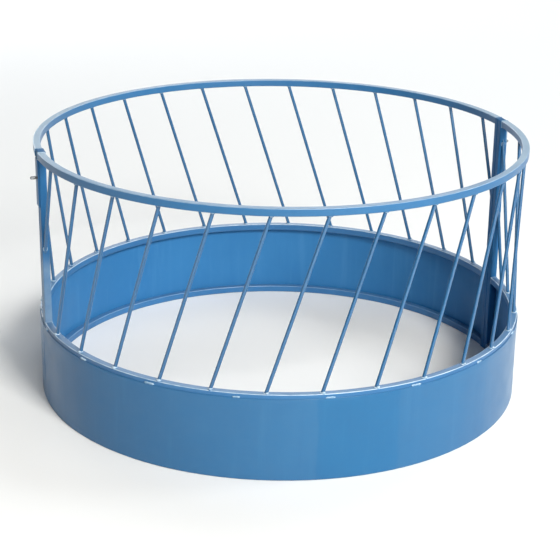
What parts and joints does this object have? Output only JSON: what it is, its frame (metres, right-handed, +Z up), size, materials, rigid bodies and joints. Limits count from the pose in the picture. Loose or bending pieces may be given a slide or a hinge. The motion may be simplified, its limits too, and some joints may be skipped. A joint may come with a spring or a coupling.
{
  "type": "sheep feeder",
  "caption": "Round ring feeder for sheep: a sheet skirt and square-tube rail joined by slanted round bars, built as half rings locked together by radial pins with wire loops.",
  "frame": {"origin": "on the floor at the centre of the ring", "axes": "+Z up; the two joints between the halves lie on the X axis; the back half is on +Y and the front half on -Y"},
  "size_m": [1.7516, 1.7, 0.896],
  "materials": {
    "paint": "glossy blue enamel on welded steel",
    "pin_steel": "bare dull steel pin and wire loop"
  },
  "bodies": {
    "back_half": {"back_top_rail": "paint", "back_rim_tube": "paint", "back_base_tube": "paint", "back_skirt_sheet": "paint", "back_start_post": "paint", "back_end_post": "paint", "back_start_post_cap": "paint", "back_end_post_cap": "paint", "back_lap_plate": "paint", "back_locating_peg": "paint", "back_upper_short_bar": "paint", "back_lower_short_bar": "paint", "back_bar_01": "paint", "back_bar_02": "paint", "back_bar_03": "paint", "back_bar_04": "paint", "back_bar_05": "paint", "back_bar_06": "paint", "back_bar_07": "paint", "back_bar_08": "paint", "back_bar_09": "paint", "back_bar_10": "paint", "back_bar_11": "paint", "back_bar_12": "paint", "back_bar_13": "paint", "back_bar_14": "paint"},
    "front_half": {"front_top_rail": "paint", "front_rim_tube": "paint", "front_base_tube": "paint", "front_skirt_sheet": "paint", "front_start_post": "paint", "front_end_post": "paint", "front_start_post_cap": "paint", "front_end_post_cap": "paint", "front_lap_plate": "paint", "front_locating_peg": "paint", "front_upper_short_bar": "paint", "front_lower_short_bar": "paint", "front_bar_01": "paint", "front_bar_02": "paint", "front_bar_03": "paint", "front_bar_04": "paint", "front_bar_05": "paint", "front_bar_06": "paint", "front_bar_07": "paint", "front_bar_08": "paint", "front_bar_09": "paint", "front_bar_10": "paint", "front_bar_11": "paint", "front_bar_12": "paint", "front_bar_13": "paint", "front_bar_14": "paint"},
    "left_pin": {"left_pin_shank": "pin_steel", "left_pin_loop": "pin_steel"},
    "right_pin": {"right_pin_shank": "pin_steel", "right_pin_loop": "pin_steel"}
  },
  "joints": [
    {"name": "halves_apart", "type": "slide", "parent": "back_half", "child": "front_half", "axis": [0, -1, 0], "range_m": [0, 0.4]},
    {"name": "left_pin_slide", "type": "slide", "parent": "front_half", "child": "left_pin", "axis": [-1, 0, 0], "range_m": [0, 0.06]},
    {"name": "right_pin_slide", "type": "slide", "parent": "back_half", "child": "right_pin", "axis": [1, 0, 0], "range_m": [0, 0.06]}
  ]
}
